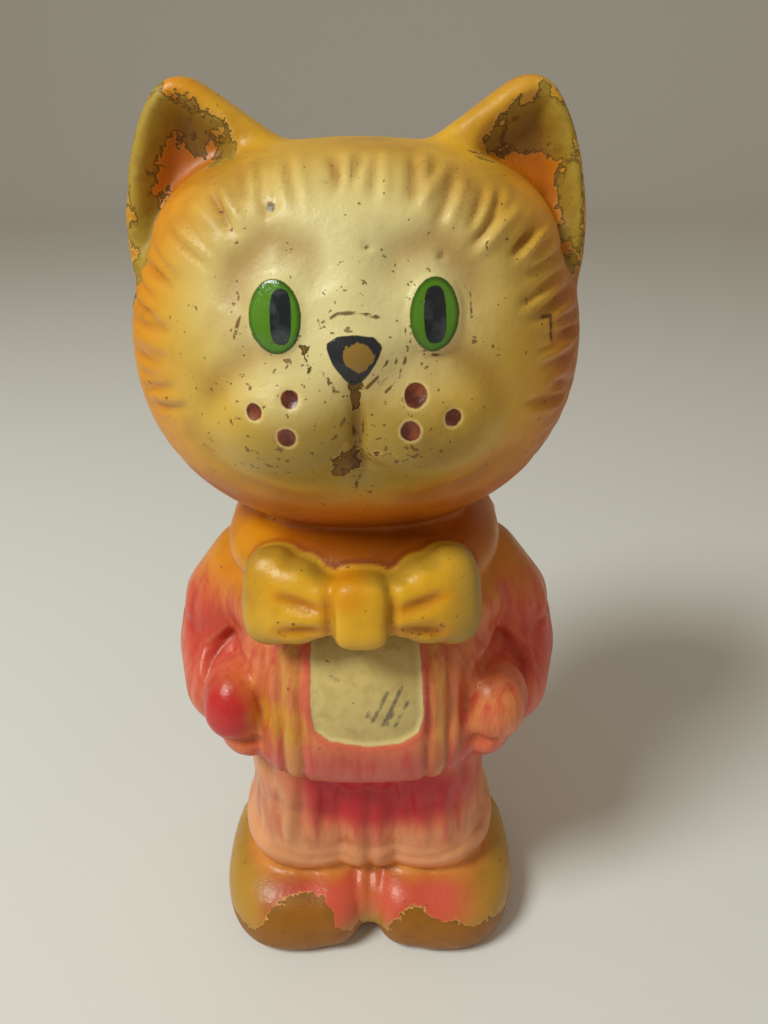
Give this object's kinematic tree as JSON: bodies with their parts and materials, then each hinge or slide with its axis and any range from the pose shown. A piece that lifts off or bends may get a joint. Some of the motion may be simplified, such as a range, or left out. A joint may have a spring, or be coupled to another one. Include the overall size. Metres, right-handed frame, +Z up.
{
  "type": "rubber squeaky toy cat",
  "caption": "Hollow moulded-rubber kitten standing in a jacket, trousers and bow tie, with a reed squeaker pressed into its sole so that it squeaks when squeezed.",
  "frame": {"origin": "on the floor, under the middle of the toy's overall box", "axes": "+Z up along the toy's height, -Y the way its face looks, +X towards the viewer's right when the face is seen from the front"},
  "size_m": [0.0838, 0.072, 0.1801],
  "materials": {
    "front_shell": "painted, worn",
    "back_shell": "painted, worn",
    "squeaker_can": "drawn sheet, dull",
    "squeaker_plate": "moulded",
    "reed_bed": "moulded",
    "reed": "thin sheet, satin",
    "reed_wedge": "moulded",
    "clamp_ring": "moulded"
  },
  "bodies": {
    "toy": {"front_shell": "front_shell", "back_shell": "back_shell", "squeaker_can": "squeaker_can", "squeaker_plate": "squeaker_plate", "reed_bed": "reed_bed", "reed_wedge": "reed_wedge", "clamp_ring": "clamp_ring"},
    "reed": {"reed": "reed"}
  },
  "joints": [
    {"name": "reed_flex", "type": "hinge", "parent": "toy", "child": "reed", "pos_m": [0, 0.0028, 0.0076], "axis": [1, 0, 0], "range_deg": [-1.5, 3.5], "stiffness_Nm_per_rad": 0.0001}
  ]
}
